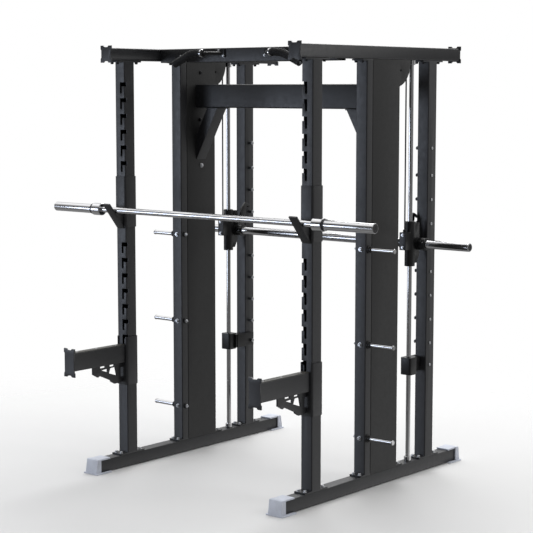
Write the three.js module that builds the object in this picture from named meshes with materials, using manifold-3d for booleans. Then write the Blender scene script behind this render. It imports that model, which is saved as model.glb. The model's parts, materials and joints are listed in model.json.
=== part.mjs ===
// Smith machine with a free barbell, J-hooks and spotter arms.
// Millimetres, +Z up, -Y is the front, X = 0 is the middle. The origin is on the floor.
import * as THREE from "three";
import { mergeVertices } from "three/addons/utils/BufferGeometryUtils.js";
import Module from "manifold-3d";

const wasm = await Module();
wasm.setup();

// ---------------------------------------------------------------- driving dimensions

const GAP = 0.3; // between pieces that touch
const ROUND_STEPS = 20; // sides of a round bar
const CORNER_STEPS = 3; // steps in a rounded corner

const TRACK = 647; // middle of each side frame, from X = 0
const TUBE = 70; // width of the frame tubes along X
const UPRIGHT_DEPTH = 75;
const WALL = 3;
const CORNER = 5;
const INNER = TRACK - TUBE / 2;
const OUTER = TRACK + TUBE / 2;
const FRONT = -464; // front face of the front uprights
const REAR_END = 858; // back edge of the rear feet

const BASE_RAIL = { bottom: 4, top: 72, front: FRONT - 228 };
const TOP_RAIL = { bottom: 2219, top: 2285, front: FRONT - 94, rear: FRONT + 1274 };
const FLANGE = { thickness: 8, reach: 53 };
const POST_BOTTOM = BASE_RAIL.top + GAP;
const POST_TOP = TOP_RAIL.bottom - GAP;

const MID_POST = { front: FRONT + 437, rear: FRONT + 487, tab: 36 };
const COVER = { front: MID_POST.rear + GAP, rear: FRONT + 720.5, wall: 2.5, tab: 52 };
const GUARD = { centreY: FRONT + 684, centreZ: 2207, radius: 130, holeY: FRONT + 727, holeZ: 2164 };
const REAR_POST_FRONT = FRONT + 984;

const SLOT = { width: 14, height: 60, edge: 20, notchHeight: 22, notchDepth: 15, pitch: 84.5 };
const SLOT_ROWS = [{ top: 2104, count: 9 }, { top: 1241, count: 9 }];

const PEG = { radius: 8, sides: 10, reach: 24, headProud: 2, firstZ: 701, pitch: 129.6, count: 8 };
const PEG_Y = FRONT + 1019;
const LOWEST_PEG_Z = 583;
const HIGHEST_PEG_Z = 1753;

const CROSSBEAM = { front: FRONT + 280, rear: FRONT + 350, bottom: 2210, top: 2284 };
const MID_BEAM = { front: FRONT + 560, rear: FRONT + 645, bottom: 1964, top: 2094 };
const BEAM_END = 7; // plate that closes each end of the middle beam
const STRUT = { lowX: 452, highX: 528, lowZ: 1672, highZ: 1810.7, headHeight: 6, headLip: 4 };

const ROD = { y: FRONT + 873, radius: 12.25, collar: 20, collarHeight: 25 };
const CABLE = { y: FRONT + 825, radius: 4, sides: 8 };
const PULLEY = { pitchRadius: 38, rim: 41, groove: 33, halfWidth: 9, z: 2160, axle: 8, bore: 8.5 };
const REAR_PULLEY_Y = CABLE.y - PULLEY.pitchRadius;
const FRONT_PULLEY_Y = FRONT + 600;
const WEIGHT_CABLE_Y = FRONT_PULLEY_Y - PULLEY.pitchRadius;
const CABLE_SPLIT_Z = PULLEY.z - 6; // where the moving runs meet the run over the pulleys
const WEIGHT = { width: 44, depth: 62, bottom: 980, height: 320 };

const BAR = { y: FRONT + 912, z: 1249, radius: 14, half: 982, grip: 23, fitBore: 14.4, turningBore: 14.6 };
const CARRIAGE = { bottom: 1131, top: 1366, radius: 27.5, bore: 12.85, hub: 33, hubHalf: 40 };
const ANCHOR = { front: FRONT + 806, bottom: 1220, top: 1314, width: 40 };
const HOOK = { inner: 565, plate: 596, outer: 606, restTurn: 18 };
const SMITH_COLLAR = { from: 690, to: 730, radius: 33 };
const SMITH_SLEEVE = { from: 730 + GAP, to: 1000, radius: 23 };

const STOP = {
  bottom: 545, top: 638, plate: 596, inner: 613, outer: 680, front: FRONT + 843, rear: FRONT + 906,
};

const SLEEVE = { clearance: 0.5, wall: 5, corner: 12 };
const BARBELL = { y: FRONT - 54, z: 1419, radius: 16, half: 1084, bore: 16.5 };
const J_HOOK = { bottom: 1324, top: 1599, width: 50, thickness: 9, lean: 51, tip: 62 };
const SPOTTER = { bottom: 458, top: 724, width: 46, armBottom: 582, armTop: 678, front: -858 };
const BRACKET = { thickness: 10 };

const STORAGE = { y: FRONT + 462, reach: 845, radius: 12, heights: { top: 1253, middle: 760, bottom: 269 } };

// ---------------------------------------------------------------- materials

function paint(color, roughness, metalness) {
  return new THREE.MeshStandardMaterial({ color, roughness, metalness });
}

const FRAME_BLACK = () => paint(0x2f3034, 0.5, 0.2);
const COVER_BLACK = () => paint(0x2a2a2c, 0.55, 0.1);
const HARDWARE_BLACK = () => paint(0x1b1b1d, 0.45, 0.3);
const CHROME = () => paint(0xc9cacc, 0.15, 1.0);
const STEEL = () => paint(0x8d8f92, 0.35, 0.9);
const RUBBER_GREY = () => paint(0x9aa0ac, 0.8, 0.0);
const GRIP_BLACK = () => paint(0x18181a, 0.75, 0.0);
const CABLE_BLACK = () => paint(0x202022, 0.6, 0.1);
const PULLEY_NYLON = () => paint(0x222225, 0.6, 0.0);

// ---------------------------------------------------------------- solids

const X_AXIS = new THREE.Vector3(1, 0, 0);
const Y_AXIS = new THREE.Vector3(0, 1, 0);
const Z_AXIS = new THREE.Vector3(0, 0, 1);

// Outlines for a prism along X are drawn in (Y, Z), along Y in (Z, X) and along Z in (X, Y).
const TURNS = {
  x: new THREE.Matrix4().makeBasis(Y_AXIS, Z_AXIS, X_AXIS),
  y: new THREE.Matrix4().makeBasis(Z_AXIS, X_AXIS, Y_AXIS),
  z: new THREE.Matrix4(),
};

function solidOf(geometry) {
  const bare = geometry.clone();
  bare.deleteAttribute("normal");
  bare.deleteAttribute("uv");
  const merged = mergeVertices(bare, 1e-3);
  const mesh = new wasm.Mesh({
    numProp: 3,
    vertProperties: new Float32Array(merged.attributes.position.array),
    triVerts: new Uint32Array(merged.index.array),
  });
  return new wasm.Manifold(mesh);
}

function box(x, y, z) {
  const geometry = new THREE.BoxGeometry(x[1] - x[0], y[1] - y[0], z[1] - z[0]);
  geometry.translate((x[0] + x[1]) / 2, (y[0] + y[1]) / 2, (z[0] + z[1]) / 2);
  return solidOf(geometry);
}

function prism(shape, axis, from, to, curveSegments = CORNER_STEPS) {
  const options = { depth: to - from, bevelEnabled: false, curveSegments };
  const geometry = new THREE.ExtrudeGeometry(shape, options);
  geometry.translate(0, 0, from);
  geometry.applyMatrix4(TURNS[axis]);
  return solidOf(geometry);
}

function polygon(points) {
  return new THREE.Shape(points.map(([a, b]) => new THREE.Vector2(a, b)));
}

function roundedRectangle(a, b, radius) {
  const shape = new THREE.Shape();
  shape.moveTo(a[0] + radius, b[0]);
  shape.lineTo(a[1] - radius, b[0]);
  shape.absarc(a[1] - radius, b[0] + radius, radius, -Math.PI / 2, 0);
  shape.lineTo(a[1], b[1] - radius);
  shape.absarc(a[1] - radius, b[1] - radius, radius, 0, Math.PI / 2);
  shape.lineTo(a[0] + radius, b[1]);
  shape.absarc(a[0] + radius, b[1] - radius, radius, Math.PI / 2, Math.PI);
  shape.lineTo(a[0], b[0] + radius);
  shape.absarc(a[0] + radius, b[0] + radius, radius, Math.PI, Math.PI * 1.5);
  return shape;
}

// A square-cornered hollow inside a tube with rounded outer corners.
function hollow(a, b, wall, axis, from, to) {
  const hole = roundedRectangle([a[0] + wall, a[1] - wall], [b[0] + wall, b[1] - wall], 1);
  return prism(hole, axis, from, to, 1);
}

function tube(a, b, axis, from, to, wall = WALL, corner = CORNER) {
  const outside = prism(roundedRectangle(a, b, corner), axis, from, to);
  return outside.subtract(hollow(a, b, wall, axis, from - 1, to + 1));
}

// A turned piece about an axis through (a, b); the profile is [radius, distance along the axis].
function turned(profile, axis, a, b, steps = ROUND_STEPS) {
  const points = profile.map(([radius, along]) => new THREE.Vector2(radius, along));
  const geometry = new THREE.LatheGeometry(points, steps);
  geometry.rotateX(Math.PI / 2);
  geometry.translate(a, b, 0);
  geometry.applyMatrix4(TURNS[axis]);
  return solidOf(geometry);
}

function bar(radius, axis, a, b, from, to, steps = ROUND_STEPS) {
  return turned([[0, from], [radius, from], [radius, to], [0, to]], axis, a, b, steps);
}

function ring(bore, radius, axis, a, b, from, to, steps = ROUND_STEPS) {
  const profile = [[bore, from], [radius, from], [radius, to], [bore, to], [bore, from]];
  return turned(profile, axis, a, b, steps);
}

function barBetween(start, end, radius, steps = 12) {
  const way = end.clone().sub(start);
  const geometry = new THREE.CylinderGeometry(radius, radius, way.length(), steps);
  const turn = new THREE.Quaternion().setFromUnitVectors(Y_AXIS, way.clone().normalize());
  geometry.applyQuaternion(turn);
  const middle = start.clone().add(end).multiplyScalar(0.5);
  geometry.translate(middle.x, middle.y, middle.z);
  return solidOf(geometry);
}

function sweep(curve, radius, sides, steps) {
  const section = new THREE.Shape();
  for (let side = 0; side < sides; side += 1) {
    const angle = ((side + 0.5) / sides) * Math.PI * 2;
    const point = [radius * Math.cos(angle), radius * Math.sin(angle)];
    if (side === 0) {
      section.moveTo(...point);
    } else {
      section.lineTo(...point);
    }
  }
  return solidOf(new THREE.ExtrudeGeometry(section, { steps, extrudePath: curve }));
}

function geometryOf(solid, side) {
  const mesh = solid.getMesh();
  const position = Float32Array.from(mesh.vertProperties);
  const index = Array.from(mesh.triVerts);
  if (side < 0) {
    for (let i = 0; i < position.length; i += 3) {
      position[i] *= -1;
    }
    for (let i = 0; i < index.length; i += 3) {
      [index[i + 1], index[i + 2]] = [index[i + 2], index[i + 1]];
    }
  }
  const geometry = new THREE.BufferGeometry();
  geometry.setAttribute("position", new THREE.BufferAttribute(position, 3));
  geometry.setIndex(index);
  return geometry;
}

const group = new THREE.Group();

function add(name, solid, material, side = 1) {
  const geometry = geometryOf(solid, side).toNonIndexed();
  geometry.computeVertexNormals();
  const mesh = new THREE.Mesh(geometry, material);
  mesh.name = name;
  group.add(mesh);
}

// Solids are drawn for the +X side; the left one is its mirror image.
function addPair(name, solid, material) {
  add(`${name}_right`, solid, material(), 1);
  add(`${name}_left`, solid, material(), -1);
}

// ---------------------------------------------------------------- base and feet

function baseRail() {
  const z = [BASE_RAIL.bottom, BASE_RAIL.top];
  const rearEnd = REAR_END - (BASE_RAIL.front - (FRONT - 252));
  return tube(z, [INNER, OUTER], "y", BASE_RAIL.front, rearEnd);
}

// The front foot; the rear one is the same cap turned round.
function foot() {
  const front = FRONT - 252;
  const flapTop = BASE_RAIL.top + 7;
  const flange = prism(roundedRectangle([592, 702], [front, front + 114], 8), "z", 0, 6);
  const profile = polygon([
    [front + 5, 0], [front + 43, 0], [front + 43, flapTop], [front + 20, flapTop], [front + 16, flapTop - 4],
  ]);
  const cap = prism(profile, "x", INNER - 7, OUTER + 7);
  const flap = box([INNER - 3, OUTER + 3], [front + 20, front + 114], [BASE_RAIL.top - 1, flapTop]);
  const seat = box(
    [INNER - GAP, OUTER + GAP],
    [BASE_RAIL.front - GAP, front + 130],
    [BASE_RAIL.bottom - GAP, BASE_RAIL.top + GAP],
  );
  return flange.add(cap).add(flap).subtract(seat);
}

function turnedToRear(solid) {
  const middle = (FRONT - 252 + REAR_END) / 2;
  const geometry = geometryOf(solid, -1);
  geometry.rotateZ(Math.PI);
  geometry.translate(0, middle * 2, 0);
  return solidOf(geometry);
}

// ---------------------------------------------------------------- posts

function flange(front, rear, bottom) {
  return box([INNER, OUTER], [front, rear], [bottom, bottom + FLANGE.thickness]);
}

function post(front, rear, tabFront, tabRear) {
  const outside = prism(roundedRectangle([INNER, OUTER], [front, rear], CORNER), "z", POST_BOTTOM, POST_TOP);
  const foundation = flange(front - tabFront, rear + tabRear, POST_BOTTOM);
  const head = flange(front - tabFront, rear + tabRear, POST_TOP - FLANGE.thickness);
  const inside = hollow([INNER, OUTER], [front, rear], WALL, "z", POST_BOTTOM - 1, POST_TOP + 1);
  return outside.add(foundation).add(head).subtract(inside);
}

// An upright slot with a side notch at its top that opens through the inner front corner.
function slot(top) {
  const left = INNER + SLOT.edge;
  const right = left + SLOT.width;
  const bottom = top - SLOT.height;
  const chamfer = 4;
  const shape = polygon([
    [top, left], [top, right], [bottom + chamfer, right], [bottom, right - chamfer],
    [bottom, left + chamfer], [bottom + chamfer, left],
  ]);
  const opening = prism(shape, "y", FRONT - 1, FRONT + WALL + 1);
  const notch = box(
    [INNER - 1, left + 1],
    [FRONT - 1, FRONT + SLOT.notchDepth],
    [top - SLOT.notchHeight, top],
  );
  return opening.add(notch);
}

function frontUpright() {
  let solid = post(FRONT, FRONT + UPRIGHT_DEPTH, FLANGE.reach, FLANGE.reach);
  for (const row of SLOT_ROWS) {
    for (let i = 0; i < row.count; i += 1) {
      solid = solid.subtract(slot(row.top - i * SLOT.pitch));
    }
  }
  return solid;
}

function pegHeights() {
  const heights = [LOWEST_PEG_Z, HIGHEST_PEG_Z];
  for (let i = 0; i < PEG.count; i += 1) {
    heights.push(PEG.firstZ + i * PEG.pitch);
  }
  return heights;
}

function rearUpright() {
  let solid = post(REAR_POST_FRONT, REAR_POST_FRONT + UPRIGHT_DEPTH, FLANGE.reach, FLANGE.reach);
  for (const z of pegHeights()) {
    const peg = bar(PEG.radius, "x", PEG_Y, z, INNER - PEG.reach, INNER + WALL - 1, PEG.sides);
    const head = bar(PEG.radius, "x", PEG_Y, z, OUTER - WALL + 1, OUTER + PEG.headProud, PEG.sides);
    solid = solid.add(peg).add(head);
  }
  return solid;
}

// The shroud round the counterweight, with open cheeks at the top for the pulleys.
function cover() {
  const x = [INNER, OUTER];
  const y = [COVER.front, COVER.rear];
  const shell = prism(roundedRectangle(x, y, 3), "z", POST_BOTTOM, POST_TOP, 2);
  const guard = new THREE.Shape();
  const rise = POST_TOP - GUARD.centreZ;
  const start = Math.asin(rise / GUARD.radius);
  const end = -Math.acos((COVER.rear - 20 - GUARD.centreY) / GUARD.radius);
  guard.moveTo(COVER.rear - 20, POST_TOP);
  guard.lineTo(COVER.rear - 20, GUARD.centreZ + GUARD.radius * Math.sin(end));
  guard.absarc(GUARD.centreY, GUARD.centreZ, GUARD.radius, end, start, false);
  const cheeks = prism(guard, "x", INNER, OUTER, 12);
  const tabZ = [POST_BOTTOM, POST_BOTTOM + FLANGE.thickness];
  const tab = box(x, [COVER.rear - 10, COVER.rear + COVER.tab], tabZ);
  const well = hollow(x, y, COVER.wall, "z", POST_BOTTOM - 1, POST_TOP + 1);
  const inner = [INNER + COVER.wall, OUTER - COVER.wall];
  const window = box(inner, [COVER.rear - 10, FRONT + 900], [2060, POST_TOP + 1]);
  const hole = bar(6, "x", GUARD.holeY, GUARD.holeZ, INNER - 1, OUTER + 1, 10);
  let solid = shell.add(cheeks).add(tab).subtract(well).subtract(window).subtract(hole);
  for (const y of [FRONT_PULLEY_Y, REAR_PULLEY_Y]) {
    solid = solid.add(bar(PULLEY.axle, "x", y, PULLEY.z, INNER + 1, OUTER - 1, 16));
  }
  return solid;
}

// ---------------------------------------------------------------- rails and beams

// An end plate whose edges step in between its four corners.
function earedPlate(bottom, top, stepIn, axisFrom, axisTo) {
  const left = TRACK - 40;
  const right = TRACK + 40;
  const side = 5;
  const ear = 20;
  const shape = polygon([
    [bottom, left], [bottom, left + ear], [bottom + stepIn, left + ear + stepIn],
    [bottom + stepIn, right - ear - stepIn], [bottom, right - ear], [bottom, right],
    [bottom + ear, right], [bottom + ear + side, right - side],
    [top - ear - side, right - side], [top - ear, right], [top, right],
    [top, right - ear], [top - stepIn, right - ear - stepIn],
    [top - stepIn, left + ear + stepIn], [top, left + ear], [top, left],
    [top - ear, left], [top - ear - side, left + side],
    [bottom + ear + side, left + side], [bottom + ear, left],
  ]);
  return prism(shape, "y", axisFrom, axisTo);
}

function topRail() {
  const z = [TOP_RAIL.bottom, TOP_RAIL.top];
  const section = roundedRectangle(z, [INNER, OUTER], CORNER);
  const outside = prism(section, "y", TOP_RAIL.front - 1, TOP_RAIL.rear + 1);
  const inside = hollow(z, [INNER, OUTER], WALL, "y", TOP_RAIL.front + 2, TOP_RAIL.rear - 2);
  const frontPlate = earedPlate(2207, 2297.5, 8, TOP_RAIL.front - 7, TOP_RAIL.front);
  const rearPlate = earedPlate(2207, 2297.5, 8, TOP_RAIL.rear, TOP_RAIL.rear + 7);
  const ventY = FRONT + UPRIGHT_DEPTH / 2;
  const vent = bar(8, "z", TRACK, ventY, TOP_RAIL.bottom - 1, TOP_RAIL.bottom + WALL + 1, 10);
  return outside.add(frontPlate).add(rearPlate).subtract(inside).subtract(vent);
}

function crossbeam() {
  const half = INNER - GAP;
  return tube([CROSSBEAM.front, CROSSBEAM.rear], [CROSSBEAM.bottom, CROSSBEAM.top], "x", -half, half);
}

function midBeam() {
  const half = INNER - GAP;
  const y = [MID_BEAM.front, MID_BEAM.rear];
  const z = [MID_BEAM.bottom, MID_BEAM.top];
  const outside = prism(roundedRectangle(y, z, 8), "x", -half, half);
  const inside = hollow(y, z, WALL, "x", -half + BEAM_END, half - BEAM_END);
  const vent = bar(15, "x", (y[0] + y[1]) / 2, (z[0] + z[1]) / 2, half - BEAM_END - 1, half + 1);
  return outside.subtract(inside).subtract(vent);
}

// A brace of rectangular tube, cut level under the beam and upright against the cover.
function strut() {
  const face = INNER - GAP;
  const top = MID_BEAM.bottom - GAP;
  const y = [MID_BEAM.front + 4, MID_BEAM.rear - 4];
  const slope = (STRUT.highZ - top) / (INNER - STRUT.highX);
  const lowSlope = (STRUT.lowZ - top) / (INNER - STRUT.lowX);
  const rearZ = (x) => top + slope * (x - STRUT.highX);
  const lowZ = (x) => top + lowSlope * (x - STRUT.lowX);
  const sideView = (points) => polygon(points.map(([x, z]) => [z, x]));
  const outline = sideView([
    [STRUT.lowX, top], [STRUT.highX, top], [face, rearZ(face)], [face, lowZ(face)],
  ]);
  const wallAlongX = WALL * 1.1;
  const bore = sideView([
    [STRUT.lowX + wallAlongX, top + 1], [STRUT.highX - wallAlongX, top + 1],
    [face + 1, rearZ(face + 1 + wallAlongX)], [face + 1, lowZ(face + 1 - wallAlongX)],
  ]);
  const headX = [STRUT.lowX - STRUT.headLip, STRUT.highX + STRUT.headLip];
  const head = box(headX, [y[0] - STRUT.headLip, y[1] + STRUT.headLip], [top - STRUT.headHeight, top]);
  const inside = prism(bore, "y", y[0] + WALL, y[1] - WALL);
  return prism(outline, "y", ...y).add(head).subtract(inside);
}

function handle() {
  const beamFace = CROSSBEAM.front - GAP;
  const y = FRONT + 207;
  const route = [
    [229, y, 2256], [262, y, 2256], [298, y, 2255], [330, y, 2247], [384, y, 2223], [436, y - 2, 2200],
  ];
  const curve = new THREE.CatmullRomCurve3(route.map((point) => new THREE.Vector3(...point)));
  const grip = sweep(curve, 20.5, 16, 12);
  const neckFrom = new THREE.Vector3(160, beamFace - 4, 2256);
  const neckTo = new THREE.Vector3(240, y, 2256);
  const neck = barBetween(neckFrom, neckTo, 9);
  const innerPlate = box([136, 184], [beamFace - 7, beamFace], [2234, 2278]);
  const stayFrom = new THREE.Vector3(428, y, 2204);
  const stay = barBetween(stayFrom, new THREE.Vector3(434, beamFace - 3, 2226), 11);
  const outerPlate = box([408, 460], [beamFace - 7, beamFace], [2211, 2250]);
  const beyond = box([100, 500], [beamFace, CROSSBEAM.rear], [2150, 2300]);
  return grip.add(neck).add(innerPlate).add(stay).add(outerPlate).subtract(beyond);
}

// ---------------------------------------------------------------- guide rods and cables

function guideRod() {
  const profile = [
    [0, POST_BOTTOM], [ROD.collar, POST_BOTTOM], [ROD.collar, POST_BOTTOM + ROD.collarHeight],
    [ROD.radius, POST_BOTTOM + ROD.collarHeight], [ROD.radius, POST_TOP - ROD.collarHeight],
    [ROD.collar, POST_TOP - ROD.collarHeight], [ROD.collar, POST_TOP], [0, POST_TOP],
  ];
  return turned(profile, "z", TRACK, ROD.y);
}

function pulley(y) {
  const side = PULLEY.halfWidth;
  const profile = [
    [PULLEY.bore, -side], [PULLEY.rim, -side], [PULLEY.rim, -7], [PULLEY.groove, -3],
    [PULLEY.groove, 3], [PULLEY.rim, 7], [PULLEY.rim, side], [PULLEY.bore, side], [PULLEY.bore, -side],
  ];
  const points = profile.map(([radius, along]) => [radius, TRACK + along]);
  return turned(points, "x", y, PULLEY.z);
}

function cableRun(y, bottom, top) {
  return bar(CABLE.radius, "z", TRACK, y, bottom, top, CABLE.sides);
}

// Up over the rear pulley, across to the front pulley and down to the counterweight's side.
function cableOverPulleys() {
  const radius = PULLEY.pitchRadius;
  const stops = [[CABLE.y, CABLE_SPLIT_Z]];
  const quarter = 6;
  for (let i = 0; i <= quarter; i += 1) {
    const angle = (i / quarter) * (Math.PI / 2);
    stops.push([REAR_PULLEY_Y + radius * Math.cos(angle), PULLEY.z + radius * Math.sin(angle)]);
  }
  for (let i = 0; i <= quarter; i += 1) {
    const angle = (1 + i / quarter) * (Math.PI / 2);
    stops.push([FRONT_PULLEY_Y + radius * Math.cos(angle), PULLEY.z + radius * Math.sin(angle)]);
  }
  stops.push([WEIGHT_CABLE_Y, CABLE_SPLIT_Z]);
  const path = new THREE.CurvePath();
  for (let i = 1; i < stops.length; i += 1) {
    const from = new THREE.Vector3(TRACK, ...stops[i - 1]);
    const to = new THREE.Vector3(TRACK, ...stops[i]);
    path.add(new THREE.LineCurve3(from, to));
  }
  return sweep(path, CABLE.radius, CABLE.sides, 26);
}

function counterweight() {
  const x = [TRACK - WEIGHT.width / 2, TRACK + WEIGHT.width / 2];
  const y = [WEIGHT_CABLE_Y - WEIGHT.depth / 2, WEIGHT_CABLE_Y + WEIGHT.depth / 2];
  const block = box(x, y, [WEIGHT.bottom, WEIGHT.bottom + WEIGHT.height]);
  const top = WEIGHT.bottom + WEIGHT.height;
  return block.add(bar(9, "z", TRACK, WEIGHT_CABLE_Y, top - 1, top + 24, 10));
}

// ---------------------------------------------------------------- carriages and Smith bar

function carriage() {
  const guide = bar(CARRIAGE.radius, "z", TRACK, ROD.y, CARRIAGE.bottom, CARRIAGE.top);
  const anchor = box(
    [TRACK - ANCHOR.width / 2, TRACK + ANCHOR.width / 2],
    [ANCHOR.front, ROD.y - 10],
    [ANCHOR.bottom, ANCHOR.top],
  );
  const back = polygon([
    [ROD.y, 1147], [ROD.y + 34, 1147], [ROD.y + 57, 1190],
    [ROD.y + 57, 1362], [ROD.y, 1362],
  ]);
  const bracket = prism(back, "x", TRACK - 22, TRACK + 22);
  const hubFrom = TRACK - CARRIAGE.hubHalf + 1;
  const hubTo = TRACK + CARRIAGE.hubHalf + 1;
  const hub = bar(CARRIAGE.hub, "x", BAR.y, BAR.z, hubFrom, hubTo);
  const rodWay = bar(CARRIAGE.bore, "z", TRACK, ROD.y, CARRIAGE.bottom - 1, CARRIAGE.top + 1);
  const barWay = bar(BAR.turningBore, "x", BAR.y, BAR.z, TRACK - 60, TRACK + 60);
  return guide.add(anchor).add(bracket).add(hub).subtract(rodWay).subtract(barWay);
}

// Thick between the hooks, turned down where it runs through the carriages.
function smithBar() {
  const grip = HOOK.inner - GAP;
  const profile = [
    [0, -BAR.half], [BAR.radius, -BAR.half], [BAR.radius, -grip], [BAR.grip, -grip],
    [BAR.grip, grip], [BAR.radius, grip], [BAR.radius, BAR.half], [0, BAR.half],
  ];
  return turned(profile, "x", BAR.y, BAR.z);
}

// The catch, drawn hooked over a peg and then turned forward to its free position.
function hook() {
  const pegY = PEG_Y - BAR.y;
  const pegZ = PEG.firstZ + 5 * PEG.pitch - BAR.z;
  const pegRadius = Math.hypot(pegY, pegZ);
  const pegAngle = Math.atan2(pegZ, pegY);
  const seat = PEG.radius + 0.9;
  const fingerInner = pegRadius + seat;
  const fingerOuter = 168;
  const degrees = (value) => (value * Math.PI) / 180;
  const at = (radius, angle) => [radius * Math.cos(angle), radius * Math.sin(angle)];
  const shape = new THREE.Shape();
  shape.moveTo(-12, 28);
  shape.lineTo(28, -14);
  shape.lineTo(66, 30);
  shape.lineTo(...at(116, degrees(42)));
  shape.lineTo(...at(pegRadius - seat, pegAngle + degrees(2.5)));
  const [seatY, seatZ] = at(pegRadius, pegAngle);
  shape.absarc(seatY, seatZ, seat, pegAngle + Math.PI * 0.8, pegAngle, true);
  shape.absarc(0, 0, fingerInner, pegAngle, degrees(37.5), true);
  shape.lineTo(...at(fingerOuter - 4, degrees(36.5)));
  shape.lineTo(...at(fingerOuter, degrees(38.5)));
  shape.absarc(0, 0, fingerOuter, degrees(38.5), degrees(53), false);
  shape.lineTo(...at(128, degrees(62)));
  shape.lineTo(...at(90, degrees(63)));
  const plate = prism(shape, "x", HOOK.plate, HOOK.outer, 4);
  const collar = bar(33, "x", 0, 0, HOOK.inner, HOOK.outer);
  const bore = bar(BAR.fitBore, "x", 0, 0, HOOK.inner - 1, HOOK.outer + 1);
  const geometry = geometryOf(plate.add(collar).subtract(bore), 1);
  geometry.rotateX(degrees(HOOK.restTurn));
  geometry.translate(0, BAR.y, BAR.z);
  return solidOf(geometry);
}

function smithCollar() {
  const { from, to, radius } = SMITH_COLLAR;
  return ring(BAR.fitBore, radius, "x", BAR.y, BAR.z, from, to);
}

function smithSleeve() {
  const { from, to, radius } = SMITH_SLEEVE;
  const profile = [
    [BAR.fitBore, from], [radius, from], [radius, to - 2], [radius - 2, to], [18, to], [18, to - 4],
    [0, to - 4], [0, BAR.half + 2], [BAR.fitBore, BAR.half + 2], [BAR.fitBore, from],
  ];
  return turned(profile, "x", BAR.y, BAR.z);
}

// A stop on the guide rod whose rear plate sits over the lowest peg.
function safetyStop() {
  const z = [STOP.bottom, STOP.top];
  const block = prism(roundedRectangle([STOP.inner, STOP.outer], [STOP.front, STOP.rear], 10), "z", ...z);
  const armY = [STOP.rear - 20, FRONT + 968];
  const armZ = [STOP.bottom + 8, STOP.top - 8];
  const arm = box([STOP.inner, STOP.inner + 40], armY, armZ);
  const plate = box([STOP.plate, STOP.plate + 10], [STOP.rear - 10, PEG_Y + 20], armZ);
  const bridge = box([STOP.plate + 4, STOP.inner + 10], armY, armZ);
  const mouth = PEG.radius + 0.8;
  const seat = bar(mouth, "x", PEG_Y, LOWEST_PEG_Z, STOP.plate - 6, HOOK.outer + 4, 12);
  const mouthZ = [LOWEST_PEG_Z - mouth, LOWEST_PEG_Z + mouth];
  const opening = box([STOP.plate - 6, HOOK.outer + 4], [PEG_Y, PEG_Y + 30], mouthZ);
  const bore = bar(CARRIAGE.bore, "z", TRACK, ROD.y, STOP.bottom - 1, STOP.top + 1);
  return block.add(arm).add(plate).add(bridge).subtract(seat).subtract(opening).subtract(bore);
}

// ---------------------------------------------------------------- sliding sleeves

const SLEEVE_OUT = SLEEVE.clearance + SLEEVE.wall;
const SLEEVE_FRONT = FRONT - SLEEVE_OUT;

function uprightSleeve(bottom, top) {
  const x = [INNER - SLEEVE_OUT, OUTER + SLEEVE_OUT];
  const y = [SLEEVE_FRONT, FRONT + UPRIGHT_DEPTH + SLEEVE_OUT];
  return prism(roundedRectangle(x, y, SLEEVE.corner), "z", bottom, top);
}

function uprightWay(bottom, top) {
  const reach = SLEEVE.clearance;
  const y = [FRONT - reach, FRONT + UPRIGHT_DEPTH + reach];
  return box([INNER - reach, OUTER + reach], y, [bottom - 1, top + 1]);
}

function jHook() {
  const lean = (J_HOOK.lean * Math.PI) / 180;
  const along = [-Math.cos(lean), Math.sin(lean)];
  const normal = [Math.sin(lean), Math.cos(lean)];
  const faceAt = (depth, travel) => [
    BARBELL.y - normal[0] * depth + along[0] * travel,
    BARBELL.z - normal[1] * depth + along[1] * travel,
  ];
  const inner = BARBELL.radius + 1;
  const outer = inner + J_HOOK.thickness;
  const wallTravel = (depth) => (BARBELL.y - normal[0] * depth - SLEEVE_FRONT - 1) / -along[0];
  const arm = polygon([
    faceAt(outer, wallTravel(outer)), faceAt(outer, J_HOOK.tip),
    faceAt(inner, J_HOOK.tip), faceAt(inner, wallTravel(inner)),
  ]);
  const seatZ = BARBELL.z - BARBELL.radius - GAP;
  const seatTravel = (seatZ - faceAt(inner, 0)[1]) / along[1];
  const web = polygon([
    faceAt(inner + 1, wallTravel(inner + 1)), faceAt(inner + 1, seatTravel),
    [faceAt(inner, seatTravel)[0], seatZ], [SLEEVE_FRONT + 1, seatZ],
  ]);
  const half = J_HOOK.width / 2;
  const armSolid = prism(arm, "x", TRACK - half, TRACK + half);
  const webSolid = prism(web, "x", TRACK - half + 4, TRACK + half - 4);
  const sleeve = uprightSleeve(J_HOOK.bottom, J_HOOK.top);
  return sleeve.add(armSolid).add(webSolid).subtract(uprightWay(J_HOOK.bottom, J_HOOK.top));
}

// The stepped web under a spotter arm, in (distance from the upright's front face, height).
function spotterBracket() {
  const x = [TRACK - BRACKET.thickness / 2, TRACK + BRACKET.thickness / 2];
  const sideView = (points) => polygon(points.map(([forward, z]) => [FRONT - forward, z]));
  const web = (points, from, to) => prism(sideView(points), "x", from, to);
  const outline = [
    [1, 590], [227, 590], [227, 541], [190, 521], [176, 528], [96, 493],
    [92, 484], [66, 470], [20, 472], [1, 478],
  ];
  const openings = [
    [[174, 568], [174, 579], [135, 579], [135, 568]],
    [[103, 568], [103, 579], [68, 579], [68, 568]],
    [[165, 557], [118, 561], [118, 541]],
    [[98, 561], [61, 562], [49, 514], [109, 534]],
    [[22, 556], [-1, 556], [-1, 503], [22, 503]],
  ];
  let solid = web(outline, ...x);
  for (const opening of openings) {
    solid = solid.subtract(web(opening, x[0] - 1, x[1] + 1));
  }
  return solid;
}

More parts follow.
